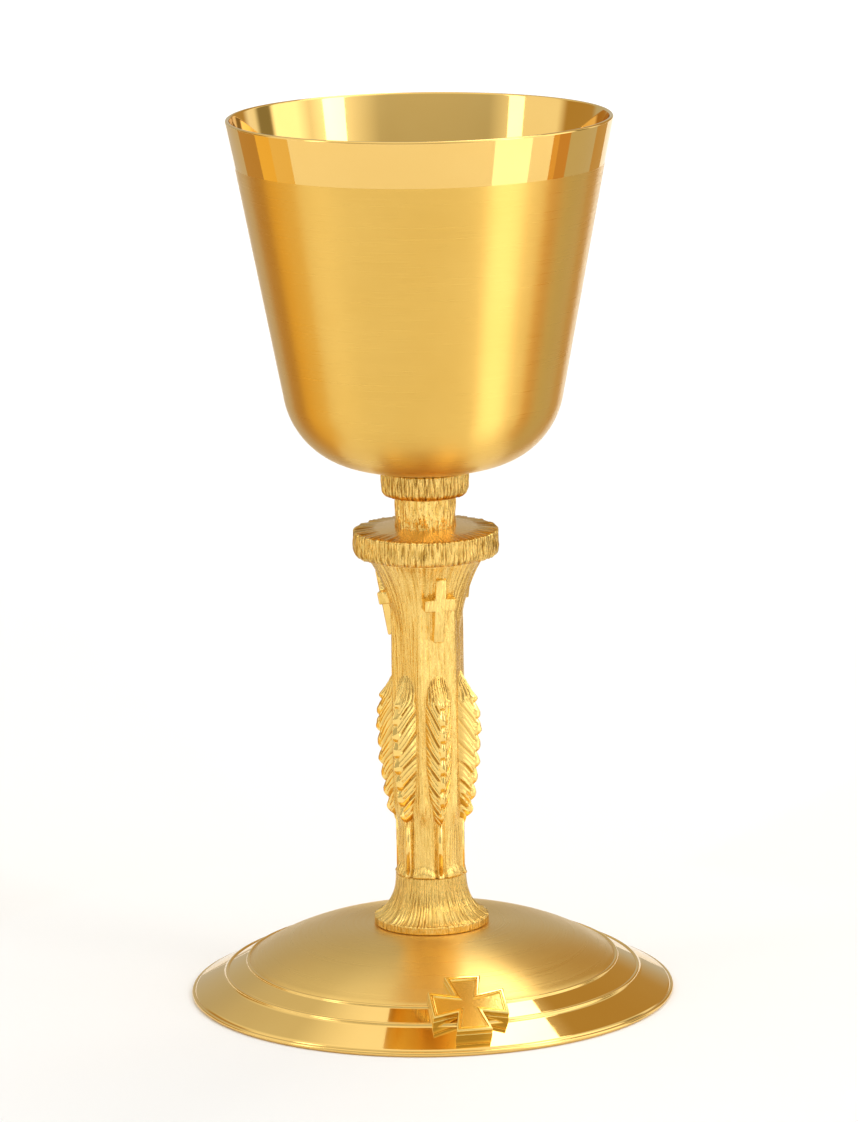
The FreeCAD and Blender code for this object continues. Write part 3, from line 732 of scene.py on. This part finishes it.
# the colour of the painted shade in the ear's hollows
EAR_GROOVE_SHADE = (0.58, 0.45, 0.25)
EAR_ACROSS = 60
EAR_ALONG = 260
ear_gilt, tree, shader = gilt("ear_gilt", (0.96, 0.67, 0.21), 0.09)
skin = stretched_noise(tree, (2200, 2200, 2200), 2.0)
relief(tree, shader, skin, 0.00004, 0.6)
roughened(tree, shader, skin, 0.04, 0.11)
# painted shade: the gold is darker where the ear's relief lies deep
paint_shade(tree, shader, sunk(tree), EAR_GROOVE_SHADE)


def between(value, points):
    """A smooth line through points of (place, size)."""
    for (start, first), (end, second) in zip(points, points[1:]):
        if value <= end:
            return first + (second - first) * smoothly(start, end, value)
    return points[-1][1]


# points of (height, value) up an ear, in millimetres: how far out its crest stands,
# half its width, and the slope at which its rows rise
EAR_CREST = ((41, 7.9), (45, 9.4), (50, 10.3), (57, 11.2), (66, 11.7), (71, 11.0), (79, 7.6))
EAR_WIDTH = ((41, 0.3), (45, 1.9), (50, 3.1), (57, 3.6), (69, 3.6), (74, 3.3), (79, 2.6))
EAR_SLOPE = ((41, 1.3), (58, 1.6), (70, 2.4), (79, 4.0))
EAR_BACK = 6.9 * MM
EAR_ROOT = 5.0 * MM
EAR_TAPER = 0.7
RELIEF = 0.9 * MM


def ear_surface(across, height):
    """The distance from the axis to the ear's surface, and how deep that lies in
    the relief, at a share of the ear's width and at a height."""
    level = height / MM
    crest = between(level, EAR_CREST) * MM
    out = abs(across)
    away = out * between(level, EAR_WIDTH)
    base = EAR_BACK + (crest - EAR_BACK) * (1 - out**1.4)
    # the flanks: rows of a few awns, with a wider gap between one row and the next
    row = (level - between(level, EAR_SLOPE) * away) / ROW_PITCH
    row += 0.5 if across > 0 else 0.0
    line = abs(math.sin(math.pi * row * ROW_LINES)) ** 0.6
    part = row % 1.0
    gap = smoothly(0.0, 0.24, part) * smoothly(1.0, 0.86, part)
    leaf = (0.45 * line + 0.55 * gap) * (0.35 + 0.65 * smoothly(1.0, 0.65, out))
    flank = smoothly(0.10, 0.24, out)
    # the spine: one swelling grain above another
    stack = (level / ROW_PITCH + 0.3) % 1.0
    swell = math.sin(math.pi * stack**0.75)
    width = 0.12 + 0.26 * swell
    grain = math.sqrt(max(0.0, 1 - (out / width) ** 2)) * (0.35 + 0.95 * swell)
    # the top: a fan of upright awns
    spread = abs(math.sin(math.pi * across * 5.5 + 0.5 * math.sin(level))) ** 0.7
    fan = smoothly(71.5, 74.5, level + 1.5 * out)
    rows = max(flank * leaf * 0.85, grain) * (1 - fan) + 0.6 * spread * fan
    rows *= smoothly(40, 43, level) * smoothly(80, 77, level)
    uneven = 0.15 * noise.noise(Vector((across * 4, level * 0.9, 3.0)))
    # how deep the point lies in the relief, which sets the painted shade
    depth = (1 - rows / 0.8) * flank * smoothly(1.05, 0.8, out)
    return base + (rows + uneven * (1 - out)) * RELIEF, min(max(depth, 0.0), 1.0)


def ear_mesh():
    """One ear at the front of the stem, closed at the back inside the column."""
    bm = bmesh.new()
    bmesh.ops.create_grid(bm, x_segments=EAR_ACROSS, y_segments=EAR_ALONG, size=1.0)
    layer = bm.verts.layers.float.new("sunk")
    for vert in bm.verts:
        across = vert.co.x
        height = EAR_LOW + (EAR_HIGH - EAR_LOW) * (vert.co.y + 1) / 2
        out, depth = ear_surface(across, height)
        half = between(height / MM, EAR_WIDTH) * MM
        half *= 1 - 0.06 * depth * abs(across)
        vert.co = (across * half, -out, height)
        vert[layer] = depth
    rim = [e for e in bm.edges if e.is_boundary]
    pulled = bmesh.ops.extrude_edge_only(bm, edges=rim)["geom"]
    for vert in pulled:
        if isinstance(vert, bmesh.types.BMVert):
            vert.co.y = -EAR_ROOT
            vert.co.x *= EAR_TAPER
    bmesh.ops.holes_fill(bm, edges=[e for e in bm.edges if e.is_boundary], sides=0)
    bmesh.ops.recalc_face_normals(bm, faces=bm.faces)
    return bm


STALK_SIZE = (1.1 * MM, 2.0 * MM, 15.2 * MM)
STALK_PLACE = (0, -7.3 * MM, 36.6 * MM)
STALK_ROUND = 0.4 * MM


def stalk(bm):
    """The ear's stalk, a narrow round-backed rib down to the foot."""
    made = bmesh.ops.create_cube(bm, size=1.0)["verts"]
    bmesh.ops.scale(bm, vec=STALK_SIZE, verts=made)
    bmesh.ops.translate(bm, vec=STALK_PLACE, verts=made)
    upright_edges = [
        e for e in bm.edges
        if e.verts[0] in made and e.verts[1] in made
        and abs(e.verts[0].co.z - e.verts[1].co.z) > MM
        and e.verts[0].co.y < STALK_PLACE[1] and e.verts[1].co.y < STALK_PLACE[1]
    ]
    bmesh.ops.bevel(
        bm,
        geom=upright_edges,
        offset=STALK_ROUND,
        segments=4,
        profile=0.5,
        affect="EDGES",
        material=-1,
    )


FACETS = ("front", "front_right", "back_right", "back", "back_left", "front_left")
casting = ear_mesh()
stalk(casting)


def at_facet(bm, side):
    """Turns a piece made at the front to one of the stem's facets."""
    angle = STEM_TURN + FACETS.index(side) * math.tau / 6
    bmesh.ops.rotate(bm, matrix=Matrix.Rotation(angle, 3, "Z"), verts=bm.verts)
    return bm


for side in FACETS:
    bm = at_facet(casting.copy(), side)
    finished("ear_" + side, bm, "stand", (ear_gilt,), ["wheat_ear_" + side])
casting.free()


# ------------------------------------------------------ the crosses of the stem
# Three Latin crosses, cast and soldered to every second facet just below the
# disc. They lean out with the capital, and their edges are broken.

latin_gilt = bark_gilt("latin_gilt", 0.17, 20, 0.0003, SOFT_GROOVE_SHADE)

LATIN_LEAN = math.radians(10.5)
LATIN_XS = (-3.85, -1.3, 1.3, 3.85)
LATIN_ZS = (0.0, 7.9, 10.9, 16.0)
LATIN_DEEP = 3.2 * MM
LATIN_PLACE = (0, -9.25 * MM, 86.6 * MM)
LATIN_BEVEL = 0.34 * MM


def latin_cross():
    """An upright with a bar, from a grid of three squares by three."""
    bm = bmesh.new()
    bmesh.ops.create_grid(bm, x_segments=3, y_segments=3, size=1.5)
    corners = [
        f for f in bm.faces
        if abs(f.calc_center_median().x) > 0.6 and abs(f.calc_center_median().y) > 0.6
    ]
    bmesh.ops.delete(bm, geom=corners, context="FACES")
    for vert in bm.verts:
        across = LATIN_XS[round(vert.co.x + 1.5)] * MM
        up = LATIN_ZS[round(vert.co.y + 1.5)] * MM
        vert.co = (across, 0, up)
    front = bmesh.ops.extrude_face_region(bm, geom=bm.faces[:])["geom"]
    moved = [g for g in front if isinstance(g, bmesh.types.BMVert)]
    bmesh.ops.translate(bm, vec=(0, LATIN_DEEP, 0), verts=moved)
    bmesh.ops.recalc_face_normals(bm, faces=bm.faces)
    sharp = [e for e in bm.edges if e.calc_face_angle(0) > 0.5]
    bmesh.ops.bevel(
        bm, geom=sharp, offset=LATIN_BEVEL, segments=3, profile=0.5, affect="EDGES", material=-1
    )
    bmesh.ops.rotate(bm, matrix=Matrix.Rotation(LATIN_LEAN, 3, "X"), verts=bm.verts)
    bmesh.ops.translate(bm, vec=LATIN_PLACE, verts=bm.verts)
    return bm


for side in ("front", "back_right", "back_left"):
    bm = at_facet(latin_cross(), side)
    finished("latin_" + side, bm, "stand", (latin_gilt,), ["stem_cross_" + side],
             crisp=True)


# ------------------------------------------------------------------- the base
# A spun dome, brushed around to a satin inside the inner ring and polished
# outside it, with two raised rings and a bright wire around its edge.

SEAT_HEIGHT = 16.7 * MM
SEAT_RADIUS = 14.5 * MM
CROWN_DEPTH = -37.45 * MM
CROWN_RADIUS = 54.15 * MM
SHOULDER = 42.0 * MM
DOME_SLOPE = 0.534
DOME_SHEET = 1.2 * MM
BORE = 4.4 * MM
RING_RADII = (44.0 * MM, 49.1 * MM)
RING_HALF = 0.42 * MM
low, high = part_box("base_edge_wire")
BASE_RADIUS = high.x


def dome_height(radius, depth=0.0):
    """The height of the dome, or of the inside of its sheet."""
    curved = min(max(radius, SEAT_RADIUS), SHOULDER) - SEAT_RADIUS
    crown = CROWN_DEPTH + math.sqrt((CROWN_RADIUS - depth) ** 2 - curved**2)
    return crown - max(radius - SHOULDER, 0.0) * DOME_SLOPE


def dome_stretch(start, end, steps, depth=0.0):
    """Points of the dome's outline between two distances from the axis."""
    reaches = [start + (end - start) * i / steps for i in range(steps + 1)]
    return [(r, max(dome_height(r, depth), 0.0)) for r in reaches]


DOME_EDGE = BASE_RADIUS - 0.75 * MM
section = [(BORE, SEAT_HEIGHT)]
start = SEAT_RADIUS
for ring in RING_RADII:
    section += dome_stretch(start, ring - RING_HALF, 24)
    centre = (ring, dome_height(ring) - 0.06 * MM)
    section += arc(centre, RING_HALF, 152, 0, 9)
    start = ring + RING_HALF
section += dome_stretch(start, DOME_EDGE, 12)
section += dome_stretch(DOME_EDGE, SEAT_RADIUS, 30, DOME_SHEET)
section += [(BORE, SEAT_HEIGHT - DOME_SHEET)]
bm = turned(section, 256, closed=True)
inner_edge = RING_RADII[0] - RING_HALF
for face in bm.faces:
    reach = face.calc_center_median().xy.length
    face.material_index = 2 if face.normal.z < 0 else int(reach > inner_edge)

dome_satin, tree, shader = gilt("dome_satin", (0.82, 0.545, 0.165), 0.30, anisotropy=0.8)
place = tree.nodes.new("ShaderNodeTexCoord")
flat = tree.nodes.new("ShaderNodeVectorMath")
flat.operation = "MULTIPLY"
flat.inputs[1].default_value = (1, 1, 0)
reach = tree.nodes.new("ShaderNodeVectorMath")
reach.operation = "LENGTH"
circles = tree.nodes.new("ShaderNodeCombineXYZ")
tree.links.new(place.outputs["Object"], flat.inputs[0])
tree.links.new(flat.outputs[0], reach.inputs[0])
tree.links.new(reach.outputs["Value"], circles.inputs["Z"])
joined = tree.nodes.new("ShaderNodeVectorMath")
joined.operation = "MULTIPLY_ADD"
joined.inputs[1].default_value = (0.008, 0.008, 0)
tree.links.new(place.outputs["Object"], joined.inputs[0])
tree.links.new(circles.outputs[0], joined.inputs[2])
brushing = stretched_noise(tree, (2500, 2500, 4200), 4.0, joined.outputs[0])
relief(tree, shader, brushing, 0.00002, 0.6)
roughened(tree, shader, brushing, 0.26, 0.36)

spun_inside, tree, shader = gilt("spun_inside", (0.78, 0.52, 0.18), 0.38)
turning = stretched_noise(tree, (400, 400, 3000), 3.0)
relief(tree, shader, turning, 0.00003, 0.4)
finished(
    "dome", bm, "stand", (dome_satin, polished, spun_inside), ["base_dome"]
)

ROLL = 0.52 * MM
section = [(DOME_EDGE - 0.6 * MM, 0), (BASE_RADIUS - 0.35 * MM, 0)]
section += arc((BASE_RADIUS - ROLL, ROLL + 0.12 * MM), ROLL, -50, 130, 14)
section += [(DOME_EDGE - 0.6 * MM, 0.75 * MM)]
bm = turned(section, 256, closed=True)
finished("edge_wire", bm, "stand", (polished,), ["base_edge_wire"])


# --------------------------------------------------------- the cross on the base
# Two cast plates, soldered face to face and bolted through the dome. The face
# plate has a broad border, a fine bead inside it and a sunk polished field.

CROSS_REACH = 45.8 * MM
CROSS_TILT = math.radians(28.1)
CROSS_HALF = 8.9 * MM
CROSS_END = 4.3 * MM
CROSS_WAIST = 2.8 * MM
CROSS_LAYER = 1.5 * MM


def on_the_dome(bm):
    """Moves a piece from its own upright place to the front of the dome."""
    bmesh.ops.rotate(bm, matrix=Matrix.Rotation(CROSS_TILT, 3, "X"), verts=bm.verts)
    place = (0, -CROSS_REACH, dome_height(CROSS_REACH))
    bmesh.ops.translate(bm, vec=place, verts=bm.verts)
    return bm


def cross_blank(bottom, top):
    """A plate with four like arms that widen outwards, its face not yet worked."""
    bm = bmesh.new()
    bmesh.ops.create_grid(bm, x_segments=3, y_segments=3, size=1.5)
    corners = [
        f for f in bm.faces
        if abs(f.calc_center_median().x) > 0.6 and abs(f.calc_center_median().y) > 0.6
    ]
    bmesh.ops.delete(bm, geom=corners, context="FACES")
    for vert in bm.verts:
        far_x, far_y = abs(vert.co.x) > 1, abs(vert.co.y) > 1
        across = CROSS_HALF if far_x else CROSS_END if far_y else CROSS_WAIST
        up = CROSS_HALF if far_y else CROSS_END if far_x else CROSS_WAIST
        vert.co = (math.copysign(across, vert.co.x), math.copysign(up, vert.co.y), top)
    rim = [e for e in bm.edges if e.is_boundary]
    below = bmesh.ops.extrude_edge_only(bm, edges=rim)["geom"]
    for item in below:
        if isinstance(item, bmesh.types.BMVert):
            item.co.z = bottom
    bmesh.ops.holes_fill(bm, edges=[e for e in bm.edges if e.is_boundary], sides=0)
    bmesh.ops.recalc_face_normals(bm, faces=bm.faces)
    return bm


def broken_edges(bm, offset):
    """Rounds the plate's outer edges a little."""
    sharp = [e for e in bm.edges if e.calc_face_angle(0) > 0.5]
    bmesh.ops.bevel(
        bm, geom=sharp, offset=offset, segments=3, profile=0.5, affect="EDGES", material=-1
    )


cross_gilt, tree, shader = gilt("base_cross_gilt", (0.88, 0.64, 0.20), 0.12)
skin = stretched_noise(tree, (1500, 1500, 1500), 3.0)
relief(tree, shader, skin, 0.00003, 0.35)

bm = cross_blank(-0.9 * MM, CROSS_LAYER)
broken_edges(bm, 0.16 * MM)
finished("cross_back", on_the_dome(bm), "stand", (cross_gilt,),
         ["base_cross_back"], crisp=True)

bm = cross_blank(CROSS_LAYER, 2 * CROSS_LAYER)
# each step goes so far inwards and so far up: border, groove, bead and field
face_steps = (
    (0.40, 0.0), (0.10, -0.30), (0.08, 0.0), (0.09, 0.26), (0.10, 0.0), (0.16, -0.36)
)
broken_edges(bm, 0.24 * MM)
top = [f for f in bm.faces if f.normal.z > 0.99]
for inward, up in face_steps:
    bmesh.ops.inset_region(
        bm, faces=top, thickness=inward * MM, depth=up * MM, use_even_offset=True,
        use_boundary=True,
    )
finished("cross_face", on_the_dome(bm), "stand", (cross_gilt,),
         ["base_cross_face"], crisp=True)


# ------------------------------------------------------- what holds it together
# Turned brass and plated steel pieces inside the stem and under the dome. A steel
# rod hangs from the brass bush in the neck, and its nut clamps the stem to the
# base. The cup's stud screws into the same bush.

brass, tree, shader = gilt("turned_brass", (0.78, 0.56, 0.22), 0.30)
turning = stretched_noise(tree, (500, 500, 3500), 3.0)
relief(tree, shader, turning, 0.00003, 0.4)
steel, tree, shader = gilt("plated_steel", (0.62, 0.62, 0.60), 0.32)
turning = stretched_noise(tree, (900, 900, 900), 3.0)
relief(tree, shader, turning, 0.00003, 0.4)
INNER_METAL = {
    steel: ("tie_rod", "lock_washer", "base_nut"),
    brass: (
        "cup_boss", "cup_stud", "coupling_bush", "spreader_washer", "foot_dowels",
        "column_dowels", "knop_dowels", "base_cross_studs", "base_cross_nuts",
    ),
}
for material, names in INNER_METAL.items():
    for name in names:
        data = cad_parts[name].data
        data.materials.clear()
        data.materials.append(material)
